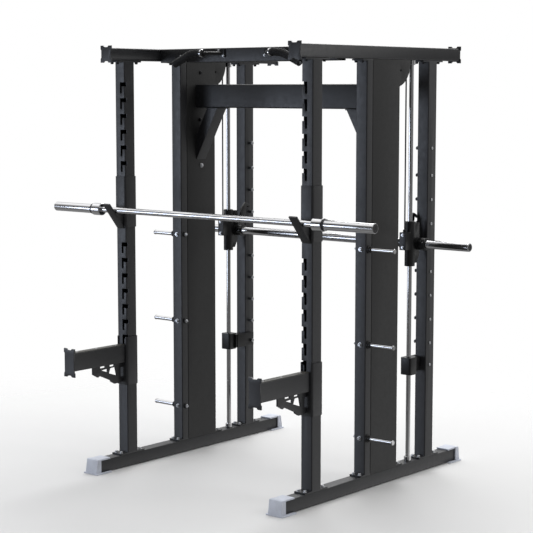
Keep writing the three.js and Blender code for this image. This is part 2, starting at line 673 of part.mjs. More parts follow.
function spotterArm() {
  const x = [TRACK - SPOTTER.width / 2, TRACK + SPOTTER.width / 2];
  const z = [SPOTTER.armBottom, SPOTTER.armTop];
  const arm = prism(roundedRectangle(z, x, 4), "y", SPOTTER.front + 4, SLEEVE_FRONT + 1);
  const inside = hollow(z, x, WALL, "y", SPOTTER.front + 8, FRONT + 2);
  const plate = earedPlate(553, 705, 8, SPOTTER.front, SPOTTER.front + 8);
  const sleeve = uprightSleeve(SPOTTER.bottom, SPOTTER.top);
  const lip = SLEEVE.corner - SLEEVE_OUT;
  const openX = [INNER + lip, OUTER - lip];
  const openFront = box(openX, [SLEEVE_FRONT - 1, FRONT], [SPOTTER.armTop, SPOTTER.top + 1]);
  const joined = sleeve.subtract(openFront).add(arm).add(plate).add(spotterBracket());
  return joined.subtract(inside).subtract(uprightWay(SPOTTER.bottom, SPOTTER.top));
}

// ---------------------------------------------------------------- barbell and storage

function barbellShaft() {
  return bar(BARBELL.radius, "x", BARBELL.y, BARBELL.z, -BARBELL.half, BARBELL.half);
}

function barbellSleeve() {
  const end = 1100;
  const profile = [
    [BARBELL.bore, 735], [33, 735], [33, 795], [29, 795], [29, 808], [25, 808],
    [25, end - 2], [23, end], [18, end], [18, end - 4], [0, end - 4], [0, BARBELL.half + 3],
    [BARBELL.bore, BARBELL.half + 3], [BARBELL.bore, 735],
  ];
  return turned(profile, "x", BARBELL.y, BARBELL.z);
}

function storagePeg(z) {
  const root = OUTER + GAP;
  const radius = STORAGE.radius;
  const profile = [
    [0, root], [21, root], [21, root + 6], [radius, root + 6], [radius, STORAGE.reach - 8],
    [radius + 1, STORAGE.reach - 8], [radius + 1, STORAGE.reach - 2], [radius - 1, STORAGE.reach],
    [0, STORAGE.reach],
  ];
  return turned(profile, "x", STORAGE.y, z, 16);
}

// ---------------------------------------------------------------- assembly

addPair("base_rail", baseRail(), FRAME_BLACK);
addPair("foot_front", foot(), RUBBER_GREY);
addPair("foot_rear", turnedToRear(foot()), RUBBER_GREY);
addPair("front_upright", frontUpright(), FRAME_BLACK);
addPair("mid_post", post(MID_POST.front, MID_POST.rear, MID_POST.tab, 0), FRAME_BLACK);
addPair("cover", cover(), COVER_BLACK);
addPair("rear_upright", rearUpright(), FRAME_BLACK);
addPair("top_rail", topRail(), FRAME_BLACK);
add("front_crossbeam", crossbeam(), FRAME_BLACK());
add("mid_beam", midBeam(), FRAME_BLACK());
addPair("strut", strut(), FRAME_BLACK);
addPair("pull_up_handle", handle(), GRIP_BLACK);
addPair("guide_rod", guideRod(), CHROME);
addPair("pulley_rear", pulley(REAR_PULLEY_Y), PULLEY_NYLON);
addPair("pulley_front", pulley(FRONT_PULLEY_Y), PULLEY_NYLON);
addPair("cable_lift", cableRun(CABLE.y, ANCHOR.top + GAP, CABLE_SPLIT_Z - GAP), CABLE_BLACK);
addPair("cable_top", cableOverPulleys(), CABLE_BLACK);
const weightCableEnd = WEIGHT.bottom + WEIGHT.height + 24 + GAP;
addPair("cable_weight", cableRun(WEIGHT_CABLE_Y, weightCableEnd, CABLE_SPLIT_Z - GAP), CABLE_BLACK);
addPair("counterweight", counterweight(), STEEL);
addPair("carriage", carriage(), HARDWARE_BLACK);
add("smith_bar", smithBar(), CHROME());
addPair("smith_hook", hook(), HARDWARE_BLACK);
addPair("smith_collar", smithCollar(), HARDWARE_BLACK);
addPair("smith_sleeve", smithSleeve(), CHROME);
addPair("safety_stop", safetyStop(), HARDWARE_BLACK);
addPair("j_hook", jHook(), FRAME_BLACK);
addPair("spotter_arm", spotterArm(), FRAME_BLACK);
for (const [level, z] of Object.entries(STORAGE.heights)) {
  addPair(`storage_peg_${level}`, storagePeg(z), CHROME);
}
add("barbell_shaft", barbellShaft(), CHROME());
addPair("barbell_sleeve", barbellSleeve(), CHROME);

export default group;
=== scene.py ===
"""Looks for the Smith machine: finished surfaces, bolts, bars, cables, stage, lights and camera."""

import json
import math

import bmesh
import bpy
from mathutils import Matrix, Vector
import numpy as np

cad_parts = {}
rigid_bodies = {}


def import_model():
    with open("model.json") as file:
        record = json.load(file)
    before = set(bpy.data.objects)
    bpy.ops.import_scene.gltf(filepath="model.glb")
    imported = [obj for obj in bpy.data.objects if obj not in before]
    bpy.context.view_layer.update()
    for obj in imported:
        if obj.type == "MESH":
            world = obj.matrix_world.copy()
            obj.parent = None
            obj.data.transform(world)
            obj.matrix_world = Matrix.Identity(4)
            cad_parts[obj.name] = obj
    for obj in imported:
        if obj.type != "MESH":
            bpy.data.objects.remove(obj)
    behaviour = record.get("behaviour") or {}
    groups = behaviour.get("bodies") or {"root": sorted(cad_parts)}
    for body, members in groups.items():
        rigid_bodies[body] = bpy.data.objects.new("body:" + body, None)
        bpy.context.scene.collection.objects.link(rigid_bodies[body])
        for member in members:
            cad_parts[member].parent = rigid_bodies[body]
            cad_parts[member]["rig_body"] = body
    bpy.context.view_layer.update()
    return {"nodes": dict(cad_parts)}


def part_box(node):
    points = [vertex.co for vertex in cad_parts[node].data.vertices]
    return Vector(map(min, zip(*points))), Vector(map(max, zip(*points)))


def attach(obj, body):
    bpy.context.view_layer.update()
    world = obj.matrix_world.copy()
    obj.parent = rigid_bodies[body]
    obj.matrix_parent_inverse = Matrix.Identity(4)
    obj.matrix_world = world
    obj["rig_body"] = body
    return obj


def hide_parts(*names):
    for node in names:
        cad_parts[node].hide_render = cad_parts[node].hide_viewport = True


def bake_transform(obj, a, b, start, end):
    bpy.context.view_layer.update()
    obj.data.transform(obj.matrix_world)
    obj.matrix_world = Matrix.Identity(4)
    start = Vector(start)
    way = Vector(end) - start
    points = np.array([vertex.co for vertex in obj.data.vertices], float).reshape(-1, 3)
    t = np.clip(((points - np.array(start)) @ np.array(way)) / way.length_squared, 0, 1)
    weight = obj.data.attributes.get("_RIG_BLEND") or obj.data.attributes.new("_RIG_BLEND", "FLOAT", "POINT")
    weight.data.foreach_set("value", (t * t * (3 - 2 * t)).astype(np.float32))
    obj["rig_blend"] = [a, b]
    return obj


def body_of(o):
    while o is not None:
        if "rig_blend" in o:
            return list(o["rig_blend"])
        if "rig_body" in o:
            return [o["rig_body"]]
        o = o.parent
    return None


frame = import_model()

SIDES = (("right", 1), ("left", -1))
ROUND = 48  # sides of a round piece
TRACK = 0.647  # middle of each side frame, from X = 0
INNER_FACE = 0.612  # the side frames' faces towards the middle
WALL_LIGHT = 0.10  # brightness of the studio walls in front

# ---------------------------------------------------------------- material building


def new_material(name, slot_colour, roughness, metallic=0.0, specular=0.5):
    """A node material with its plain values on the shader's own sockets."""
    material = bpy.data.materials.new(name)
    material.use_nodes = True
    material.diffuse_color = (*slot_colour, 1)
    shader = material.node_tree.nodes["Principled BSDF"]
    shader.inputs["Base Color"].default_value = (*slot_colour, 1)
    shader.inputs["Roughness"].default_value = roughness
    shader.inputs["Metallic"].default_value = metallic
    shader.inputs["Specular IOR Level"].default_value = specular
    return material, material.node_tree, shader


def add_node(tree, kind, **values):
    """Adds a node whose values name either its inputs or its settings."""
    node = tree.nodes.new(kind)
    for key, value in values.items():
        if key in node.inputs:
            node.inputs[key].default_value = value
        else:
            setattr(node, key, value)
    return node


def row_coordinates(tree):
    return tree.nodes.new("ShaderNodeTexCoord").outputs["Object"]


def noise(tree, scale, detail=3.0, rough=0.55, stretch=None):
    """Noise in row coordinates, whose scale is in waves per metre."""
    source = row_coordinates(tree)
    if stretch:
        mapping = add_node(tree, "ShaderNodeMapping")
        mapping.inputs["Scale"].default_value = stretch
        tree.links.new(source, mapping.inputs["Vector"])
        source = mapping.outputs["Vector"]
    node = add_node(tree, "ShaderNodeTexNoise", Scale=scale, Detail=detail, Roughness=rough)
    tree.links.new(source, node.inputs["Vector"])
    return node.outputs["Fac"]


def spread(tree, source, low, high, from_low=0.3, from_high=0.7):
    """Maps the middle of a noise to the range from low to high."""
    node = add_node(tree, "ShaderNodeMapRange")
    node.inputs["From Min"].default_value = from_low
    node.inputs["From Max"].default_value = from_high
    node.inputs["To Min"].default_value = low
    node.inputs["To Max"].default_value = high
    tree.links.new(source, node.inputs["Value"])
    return node.outputs["Result"]


def tint(tree, shader, source, dark, light, from_low=0.3, from_high=0.7):
    """The base colour wanders between two near colours."""
    ramp = add_node(tree, "ShaderNodeValToRGB")
    ramp.color_ramp.elements[0].position = from_low
    ramp.color_ramp.elements[0].color = (*dark, 1)
    ramp.color_ramp.elements[1].position = from_high
    ramp.color_ramp.elements[1].color = (*light, 1)
    tree.links.new(source, ramp.inputs["Fac"])
    tree.links.new(ramp.outputs["Color"], shader.inputs["Base Color"])


def bump(tree, shader, heights, strength, distance):
    """Adds the heights together and drives one bump with them."""
    total = heights[0]
    for height in heights[1:]:
        plus = add_node(tree, "ShaderNodeMath", operation="ADD")
        tree.links.new(total, plus.inputs[0])
        tree.links.new(height, plus.inputs[1])
        total = plus.outputs[0]
    node = add_node(tree, "ShaderNodeBump", Strength=strength, Distance=distance)
    tree.links.new(total, node.inputs["Height"])
    tree.links.new(node.outputs["Normal"], shader.inputs["Normal"])


def powder_coat(name, colour, roughness=0.5, specular=0.4, grain=0.25):
    """Powder coat: fine orange peel, a little unevenness in gloss and colour."""
    material, tree, shader = new_material(name, colour, roughness, specular=specular)
    broad = noise(tree, 5, detail=4)
    dark = tuple(c * 0.92 for c in colour)
    light = tuple(c * 1.08 for c in colour)
    tint(tree, shader, broad, dark, light)
    gloss = noise(tree, 38, detail=5)
    tree.links.new(spread(tree, gloss, roughness - 0.04, roughness + 0.05), shader.inputs["Roughness"])
    bump(tree, shader, [noise(tree, 900, detail=2), noise(tree, 260, detail=2)], grain, 0.0006)
    return material


def chrome(name, colour=(0.58, 0.58, 0.59), roughness=0.09, along=(1, 30, 30)):
    """Hard chrome with faint polishing lines along the bar and smudges in the gloss."""
    material, tree, shader = new_material(name, colour, roughness, metallic=1.0)
    smudge = noise(tree, 9, detail=5)
    tree.links.new(spread(tree, smudge, roughness - 0.04, roughness + 0.08), shader.inputs["Roughness"])
    dark = tuple(c * 0.93 for c in colour)
    light = tuple(min(1.0, c * 1.05) for c in colour)
    tint(tree, shader, noise(tree, 4, detail=3), dark, light)
    lines = noise(tree, 40, detail=2, stretch=along)
    bump(tree, shader, [lines], 0.04, 0.0004)
    return material


def knurl_height(tree, axis_y, axis_z, radius, zones, pitch):
    """Crossed grooves round an X axis at (axis_y, axis_z), only where |x| is in one of the zones."""
    def math_node(operation, a, b=None):
        node = add_node(tree, "ShaderNodeMath", operation=operation)
        for socket, value in enumerate((a, b)):
            if value is None:
                continue
            if isinstance(value, (int, float)):
                node.inputs[socket].default_value = value
            else:
                tree.links.new(value, node.inputs[socket])
        return node.outputs[0]

    split = add_node(tree, "ShaderNodeSeparateXYZ")
    tree.links.new(row_coordinates(tree), split.inputs[0])
    across = math_node("SUBTRACT", split.outputs["Y"], axis_y)
    up = math_node("SUBTRACT", split.outputs["Z"], axis_z)
    turns = math_node("MULTIPLY", math_node("ARCTAN2", up, across), round(radius * 2 * math.pi / pitch))
    run = math_node("MULTIPLY", split.outputs["X"], 2 * math.pi / pitch)
    one = math_node("SINE", math_node("ADD", turns, run))
    other = math_node("SINE", math_node("SUBTRACT", turns, run))
    crossed = math_node("ADD", math_node("ABSOLUTE", one), math_node("ABSOLUTE", other))
    reach = math_node("ABSOLUTE", split.outputs["X"])
    mask = None
    for low, high in zones:
        past_low = math_node("GREATER_THAN", reach, low)
        before_high = math_node("LESS_THAN", reach, high)
        inside = math_node("MULTIPLY", past_low, before_high)
        mask = inside if mask is None else math_node("ADD", mask, inside)
    return math_node("MULTIPLY", crossed, mask), mask


def knurled_chrome(name, axis_y, axis_z, radius, zones):
    """Chrome with crossed knurling in the zones, duller there than between them."""
    material, tree, shader = new_material(name, (0.62, 0.62, 0.63), 0.14, metallic=1.0)
    height, mask = knurl_height(tree, axis_y, axis_z, radius, zones, 0.0016)
    tree.links.new(spread(tree, mask, 0.13, 0.24, 0.0, 1.0), shader.inputs["Roughness"])
    tint(tree, shader, mask, (0.62, 0.62, 0.63), (0.54, 0.54, 0.55), 0.0, 1.0)
    bump(tree, shader, [height, noise(tree, 40, detail=2, stretch=(1, 30, 30))], 0.2, 0.0002)
    return material


def rubber(name, colour, roughness=0.75, grain=0.35):
    """Matt moulded rubber or plastic with a fine grain."""
    material, tree, shader = new_material(name, colour, roughness, specular=0.3)
    broad = noise(tree, 18, detail=5)
    tint(tree, shader, broad, tuple(c * 0.88 for c in colour), tuple(c * 1.1 for c in colour))
    tree.links.new(spread(tree, broad, roughness - 0.08, roughness + 0.1), shader.inputs["Roughness"])
    bump(tree, shader, [noise(tree, 1400, detail=2), noise(tree, 120, detail=3)], grain, 0.0007)
    return material


def zinc(name, colour=(0.55, 0.56, 0.58)):
    """Zinc plated fasteners with a cloudy surface."""
    material, tree, shader = new_material(name, colour, 0.3, metallic=0.95)
    cloud = noise(tree, 160, detail=4)
    tint(tree, shader, cloud, tuple(c * 0.8 for c in colour), tuple(min(1, c * 1.15) for c in colour))
    tree.links.new(spread(tree, cloud, 0.22, 0.42), shader.inputs["Roughness"])
    bump(tree, shader, [noise(tree, 700, detail=2)], 0.12, 0.0003)
    return material


def wire_rope(name):
    """A coated steel cable whose strands show as slanting ridges."""
    material, tree, shader = new_material(name, (0.016, 0.016, 0.018), 0.42, specular=0.5)
    wave = add_node(tree, "ShaderNodeTexWave", Scale=38.0, Distortion=0.0)
    wave.bands_direction = "DIAGONAL"
    tree.links.new(row_coordinates(tree), wave.inputs["Vector"])
    tint(tree, shader, wave.outputs["Fac"], (0.010, 0.010, 0.011), (0.035, 0.035, 0.038), 0.2, 0.8)
    bump(tree, shader, [wave.outputs["Fac"]], 0.5, 0.0008)
    return material


PAINT = powder_coat("Frame_powder_coat", (0.0120, 0.0124, 0.0142), 0.40, 0.48)
COVER_PAINT = powder_coat("Cover_powder_coat", (0.0110, 0.0110, 0.0112), 0.46, 0.36, 0.18)
HARDWARE = powder_coat("Hardware_black", (0.0055, 0.0055, 0.006), 0.36, 0.34, 0.12)
GLOSS_BLACK = powder_coat("Hook_black", (0.0060, 0.0060, 0.0065), 0.20, 0.6, 0.08)
CHROME = chrome("Chrome_bars")
ROD_CHROME = chrome("Chrome_rods", along=(30, 30, 1))
ZINC = zinc("Zinc_bolts")
BLACK_BOLT = zinc("Black_bolts", (0.03, 0.03, 0.032))
FOOT_RUBBER = rubber("Foot_rubber", (0.50, 0.525, 0.59))
GRIP_RUBBER = rubber("Grip_rubber", (0.012, 0.012, 0.013), 0.62)
PLASTIC = rubber("Black_plastic", (0.014, 0.014, 0.015), 0.5, 0.15)
# lighter grey strip on the spotter arms' tops: a painted highlight of the lit top face
ARM_HIGHLIGHT_STRIP = rubber("Arm_top_painted_highlight", (0.060, 0.058, 0.052), 0.55, 0.15)
STEEL = zinc("Weight_steel", (0.34, 0.35, 0.36))

# ---------------------------------------------------------------- mesh building


def finish_mesh(name, built, material, body, smooth_angle=32):
    """Turns a bmesh into a piece that rides on a body."""
    bmesh.ops.recalc_face_normals(built, faces=built.faces)
    mesh = bpy.data.meshes.new(name)
    built.to_mesh(mesh)
    built.free()
    mesh.shade_smooth()
    mesh.set_sharp_from_angle(angle=math.radians(smooth_angle))
    piece = bpy.data.objects.new(name, mesh)
    bpy.context.scene.collection.objects.link(piece)
    piece.data.materials.append(material)
    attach(piece, body)
    return piece


def turn_matrix(direction):
    """A rotation that takes +Z to the direction."""
    return Vector(direction).to_track_quat("Z", "Y").to_matrix().to_4x4()


def add_turned(built, profile, start, direction, sides=ROUND):
    """Adds a closed turned solid: profile is [radius, distance] from one axis point to another."""
    place = Matrix.Translation(Vector(start)) @ turn_matrix(direction)
    rings = []
    looped = profile[0] == profile[-1]
    for radius, along in profile[:-1] if looped else profile:
        if radius < 1e-7:
            rings.append([built.verts.new(place @ Vector((0, 0, along)))])
            continue
        ring = []
        for i in range(sides):
            angle = 2 * math.pi * i / sides
            point = Vector((radius * math.cos(angle), radius * math.sin(angle), along))
            ring.append(built.verts.new(place @ point))
        rings.append(ring)
    if looped:
        rings.append(rings[0])
    for low, high in zip(rings, rings[1:]):
        if len(low) == 1 and len(high) == 1:
            continue
        for i in range(sides):
            j = (i + 1) % sides
            if len(low) == 1:
                built.faces.new((low[0], high[j], high[i]))
            elif len(high) == 1:
                built.faces.new((low[i], low[j], high[0]))
            else:
                built.faces.new((low[i], low[j], high[j], high[i]))


def round_edges(built, edges, width, segments):
    bmesh.ops.bevel(built, geom=edges, offset=width, segments=segments, affect="EDGES", profile=0.7,
                    clamp_overlap=True)


def add_box(built, low, high, bevel=0.0008):
    """Adds a box with rounded edges."""
    size = Vector(high) - Vector(low)
    centre = (Vector(high) + Vector(low)) / 2
    place = Matrix.Translation(centre) @ Matrix.Diagonal((*size, 1))
    made = bmesh.ops.create_cube(built, size=1.0, matrix=place)
    edges = list({e for v in made["verts"] for e in v.link_edges})
    round_edges(built, edges, bevel, 2)


def add_bolt(built, start, direction, across=0.016, height=0.008, washer=True):
    """Adds a hex head bolt with a chamfered head on a washer; start is on the surface."""
    base = 0.0
    if washer:
        rim = across * 0.72
        thick = 0.0016
        plate = [(0, 0), (rim - 0.0003, 0), (rim, 0.0004), (rim, thick - 0.0004), (rim - 0.0004, thick),
                 (0, thick)]
        add_turned(built, plate, start, direction, 28)
        base = thick
    radius = across / math.sqrt(3)
    chamfer = base + height * 0.82
    top = base + height
    crown = top + 0.0008
    hexagon = [(0, base), (radius, base), (radius, chamfer), (across * 0.47, top), (0, top)]
    add_turned(built, hexagon, start, direction, 6)
    boss = [(0, top), (across * 0.22, top), (across * 0.2, crown), (0, crown)]
    add_turned(built, boss, start, direction, 18)


def add_cap_screw(built, start, direction, radius=0.007, height=0.0035):
    """Adds a low round head with a hex socket."""
    edge = 0.001
    add_turned(built, [(0, 0), (radius, 0), (radius, height - edge), (radius - edge, height),
                       (radius * 0.5, height), (radius * 0.42, height - 0.002), (0, height - 0.002)],
               start, direction, 24)


def turned_piece(name, profile, start, direction, material, body, sides=ROUND):
    """A piece of its own made of one turned solid."""
    built = bmesh.new()
    add_turned(built, profile, start, direction, sides)
    return finish_mesh(name, built, material, body)


def finished(node, material, body, width=0.0008, segments=2, angle=50):
    """A copy of a frame node with its faces merged and its sharp edges rounded, shown in its place."""
    built = bmesh.new()
    built.from_mesh(frame["nodes"][node].data)
    bmesh.ops.remove_doubles(built, verts=built.verts, dist=2e-6)
    bmesh.ops.dissolve_limit(built, angle_limit=math.radians(0.4), verts=built.verts, edges=built.edges)
    edges = [e for e in built.edges if len(e.link_faces) == 2 and e.calc_face_angle() > math.radians(angle)]
    if width:
        round_edges(built, edges, width, segments)
    bmesh.ops.triangulate(built, faces=[f for f in built.faces if len(f.verts) > 4])
    piece = finish_mesh(f"{node}_finish", built, material, body)
    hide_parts(node)
    return piece


def middle(node):
    low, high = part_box(node)
    return (low + high) / 2


def body_of_node(node):
    return body_of(frame["nodes"][node])[0]


# ---------------------------------------------------------------- frame, beams and covers

PAINTED = (
    "base_rail", "front_upright", "mid_post", "rear_upright", "top_rail", "strut", "j_hook", "spotter_arm",
)
for side, sign in SIDES:
    for stem in PAINTED:
        node = f"{stem}_{side}"
        finished(node, PAINT, body_of_node(node))
    finished(f"cover_{side}", COVER_PAINT, "frame", 0.0006)
    finished(f"carriage_{side}", HARDWARE, "smith_carriages", 0.0012)
    finished(f"smith_hook_{side}", GLOSS_BLACK, "smith_bar", 0.0018)
    finished(f"safety_stop_{side}", HARDWARE, f"stop_{side}", 0.0010)
    finished(f"counterweight_{side}", STEEL, f"weight_{side}", 0.0020)
    for end in ("front", "rear"):
        finished(f"foot_{end}_{side}", FOOT_RUBBER, "frame", 0.0022, 3)
for node in ("front_crossbeam", "mid_beam"):
    finished(node, PAINT, "frame")

# ---------------------------------------------------------------- round bars

ROD_RADIUS = 0.01225
SHAFT = 0.014  # radius of the Smith bar where it runs in the carriages
GRIP_RADIUS = 0.023  # and between the hooks
HOOK_FACE = 0.565  # where the hooks' hubs begin
BARBELL_SHAFT = 0.016
PLATE_SLEEVE = 0.025  # radius of the barbell's plate sleeves


def guide_rod(side):
    """The chrome rod with a collar and a set screw at each end."""
    node = f"guide_rod_{side}"
    low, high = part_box(node)
    wide = (high.x - low.x) / 2
    tall = high.z - low.z
    neck = 0.025
    edge = 0.0012
    lower = [(0, 0), (wide - edge, 0), (wide, edge), (wide, neck - edge), (wide - edge, neck),
             (ROD_RADIUS, neck)]
    profile = lower + [(radius, tall - along) for radius, along in reversed(lower)]
    start = (middle(node).x, middle(node).y, low.z)
    piece = turned_piece(f"{node}_finish", profile, start, (0, 0, 1), ROD_CHROME, "frame")
    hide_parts(node)
    screws = bmesh.new()
    for z in (low.z + neck / 2, high.z - neck / 2):
        add_cap_screw(screws, (start[0], start[1] - wide + 0.0006, z), (0, -1, 0), 0.004, 0.0022)
    finish_mesh(f"rod_set_screws_{side}", screws, BLACK_BOLT, "frame")


def end_profile(radius, length, edge=0.0012):
    """A plain bar with chamfered ends."""
    start = [(0, 0), (radius - edge, 0), (radius, edge)]
    return start + [(radius, length - edge), (radius - edge, length), (0, length)]


def smith_bar():
    """The bar, thick between the hooks and turned down for the carriages."""
    low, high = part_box("smith_bar")
    centre = middle("smith_bar")
    grip = knurled_chrome("Smith_bar_chrome", centre.y, centre.z, GRIP_RADIUS, [(0.16, 0.36)])
    edge = 0.0015
    step = high.x - HOOK_FACE + 0.0003
    long = high.x - low.x
    first_half = [(0, 0), (SHAFT - edge, 0), (SHAFT, edge), (SHAFT, step), (GRIP_RADIUS - edge, step),
                  (GRIP_RADIUS, step + edge)]
    profile = first_half + [(radius, long - along) for radius, along in reversed(first_half)]
    piece = turned_piece("smith_bar_finish", profile, (low.x, centre.y, centre.z), (1, 0, 0), grip,
                         "smith_bar")
    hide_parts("smith_bar")


def smith_end(side, sign):
    """The bearing collar and the plate sleeve outside it."""
    out = (sign, 0, 0)
    low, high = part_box(f"smith_collar_{side}")
    centre = middle(f"smith_collar_{side}")
    near = min(abs(low.x), abs(high.x))
    wide = (high.z - low.z) / 2
    long = high.x - low.x
    edge = 0.002
    bore = SHAFT + 0.0004
    groove = wide - 0.0015
    profile = [(bore, 0), (wide - edge, 0), (wide, edge), (wide, long * 0.42), (groove, long * 0.45),
               (groove, long * 0.55), (wide, long * 0.58), (wide, long - edge), (wide - edge, long),
               (bore, long), (bore, 0)]
    start = (sign * near, centre.y, centre.z)
    piece = turned_piece(f"smith_collar_{side}_finish", profile, start, out, HARDWARE,
                         "smith_bar")
    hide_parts(f"smith_collar_{side}")
    low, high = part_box(f"smith_sleeve_{side}")
    near = min(abs(low.x), abs(high.x))
    radius = (high.z - low.z) / 2
    long = high.x - low.x
    lip = 0.004
    rim = radius - 0.005
    inner_end = long - 0.016
    profile = [(bore, 0), (radius - 0.001, 0), (radius, 0.001), (radius, long - 0.0025),
               (radius - 0.0025, long), (rim, long), (rim, long - lip), (0, long - lip),
               (0, inner_end), (bore, inner_end), (bore, 0)]
    start = (sign * near, centre.y, centre.z)
    piece = turned_piece(f"smith_sleeve_{side}_finish", profile, start, out, CHROME,
                         "smith_bar", 64)
    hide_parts(f"smith_sleeve_{side}")
    cap_start = (sign * (near + long - lip), centre.y, centre.z)
    cap = radius - 0.0054
    profile = [(0, 0), (cap, 0), (cap, 0.0024), (cap - 0.0012, 0.0036), (0.006, 0.0032), (0.005, 0.0022),
               (0, 0.0022)]
    turned_piece(f"smith_sleeve_cap_{side}", profile, cap_start, out, PLASTIC, "smith_bar")
    screws = bmesh.new()
    for angle in (40, 160, 280):
        turn = math.radians(angle)
        way = Vector((0, math.cos(turn), math.sin(turn)))
        place = Vector((sign * 0.720, centre.y, centre.z)) + way * (wide - 0.0004)
        add_cap_screw(screws, place, way, 0.0035, 0.0015)
    finish_mesh(f"smith_collar_screws_{side}", screws, ZINC, "smith_bar")


def barbell():
    """The free bar and its two turning ends."""
    low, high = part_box("barbell_shaft")
    centre = middle("barbell_shaft")
    zones = [(0.0, 0.06), (0.21, 0.40), (0.412, 0.60)]
    grip = knurled_chrome("Barbell_chrome", centre.y, centre.z, BARBELL_SHAFT, zones)
    start = (low.x, centre.y, centre.z)
    profile = end_profile(BARBELL_SHAFT, high.x - low.x)
    piece = turned_piece("barbell_shaft_finish", profile, start, (1, 0, 0), grip, "barbell")
    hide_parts("barbell_shaft")
    for side, sign in SIDES:
        barbell_end(side, sign, centre)


def barbell_end(side, sign, centre):
    """The collar and plate sleeve, with a black ring behind the collar and a plug in the end."""
    node = f"barbell_sleeve_{side}"
    body = node
    low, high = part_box(node)
    near = min(abs(low.x), abs(high.x))
    long = high.x - low.x
    bore = BARBELL_SHAFT + 0.0005
    collar = 0.060
    flange = 0.033
    seat = 0.027
    step = 0.073
    radius = PLATE_SLEEVE
    groove = radius - 0.0006
    rim = radius - 0.0032
    lip = 0.004
    inner_end = long - 0.013
    profile = [(bore, 0), (0.030, 0), (flange, 0.003), (flange, collar - 0.003), (0.030, collar),
               (seat, collar), (seat, step), (radius, step), (radius, step + 0.004), (groove, step + 0.0045),
               (groove, step + 0.006), (radius, step + 0.0065), (radius, long - 0.0025),
               (radius - 0.0018, long), (rim, long), (rim, long - lip), (0, long - lip),
               (0, inner_end), (bore, inner_end), (bore, 0)]
    start = (sign * near, centre.y, centre.z)
    out = (sign, 0, 0)
    piece = turned_piece(f"{node}_finish", profile, start, out, CHROME, body, 64)
    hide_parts(node)
    ring_start = (sign * (near + collar + 0.0005), centre.y, centre.z)
    ring = [(0.0271, 0), (0.0285, 0), (0.0290, 0.0006), (0.0290, 0.0112), (0.0285, 0.0118), (0.0271, 0.0118),
            (0.0271, 0)]
    turned_piece(f"barbell_ring_{side}", ring, ring_start, out, PLASTIC, body)
    cap_start = (sign * (near + long - lip), centre.y, centre.z)
    cap = radius - 0.0036
    profile = [(0, 0), (cap, 0), (cap, 0.0026), (cap - 0.0012, 0.0036), (0.0085, 0.0034), (0.0075, 0.0022),
               (0, 0.0022)]
    turned_piece(f"barbell_cap_{side}", profile, cap_start, out, PLASTIC, body)


def storage_peg(level, side, sign):
    """A chrome peg in a black socket."""
    node = f"storage_peg_{level}_{side}"
    low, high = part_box(node)
    centre = middle(node)
    near = min(abs(low.x), abs(high.x))
    long = high.x - low.x
    rod = 0.0115
    flange = (high.z - low.z) / 2
    out = (sign, 0, 0)
    start = (sign * near, centre.y, centre.z)
    socket = [(0, 0), (flange - 0.001, 0), (flange, 0.001), (flange, 0.005), (flange - 0.001, 0.006),
              (0.0165, 0.007), (0.0165, 0.019), (0.0155, 0.020), (0, 0.020)]
    root = turned_piece(f"{node}_mount", socket, start, out, HARDWARE, "frame")
    rod_end = rod + 0.0012
    rod_profile = [(0, 0.0195), (rod, 0.0195), (rod, long - 0.0085), (rod + 0.0010, long - 0.008),
                   (rod_end, long - 0.007), (rod_end, long - 0.002), (rod, long), (0, long)]
    turned_piece(f"{node}_rod", rod_profile, start, out, CHROME, "frame")
    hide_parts(node)


def pulley(end, side):
    """A grooved nylon wheel with dished sides."""
    node = f"pulley_{end}_{side}"
    low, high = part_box(node)
    centre = middle(node)
    half = (high.x - low.x) / 2
    rim = (high.z - low.z) / 2
    bore = 0.0085
    one_side = [(bore, -half), (0.014, -half), (0.014, -half + 0.0015), (0.030, -half + 0.0025),
                (0.032, -half), (rim - 0.0008, -half), (rim, -half + 0.0008), (rim, -0.0072),
                (0.0334, -0.0026)]
    profile = one_side + [(radius, -along) for radius, along in reversed(one_side)] + one_side[:1]
    piece = turned_piece(f"{node}_finish", profile, centre, (1, 0, 0), PLASTIC, node)
    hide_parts(node)


for side, sign in SIDES:
    guide_rod(side)
    smith_end(side, sign)
    for level in ("top", "middle", "bottom"):
        storage_peg(level, side, sign)
    for end in ("rear", "front"):
        pulley(end, side)
smith_bar()
barbell()

# ---------------------------------------------------------------- cables

CABLE_RADIUS = 0.004
CABLE = wire_rope("Cable_coat")


def cable_run(node, low_body):
    """A straight run that stretches between the pulleys on the frame and what hangs on it."""
    low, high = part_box(node)
    centre = middle(node)
    rings = 60
    built = bmesh.new()
    tall = high.z - low.z
    sides = [(CABLE_RADIUS, tall * i / rings) for i in range(rings + 1)]
    add_turned(built, [(0, 0), *sides, (0, tall)], (centre.x, centre.y, low.z), (0, 0, 1), 16)
    bmesh.ops.recalc_face_normals(built, faces=built.faces)
    mesh = bpy.data.meshes.new(f"{node}_finish")
    built.to_mesh(mesh)
    built.free()
    mesh.shade_smooth()
    mesh.set_sharp_from_angle(angle=math.radians(40))
    piece = bpy.data.objects.new(f"{node}_finish", mesh)
    bpy.context.scene.collection.objects.link(piece)
    mesh.materials.append(CABLE)
    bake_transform(piece, "frame", low_body, start=(centre.x, centre.y, high.z), end=(centre.x, centre.y, low.z))
    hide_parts(node)


for side, sign in SIDES:
    cable_run(f"cable_lift_{side}", "smith_carriages")
    cable_run(f"cable_weight_{side}", f"weight_{side}")
    finished(f"cable_top_{side}", CABLE, "frame", 0)

# ---------------------------------------------------------------- pull-up handles


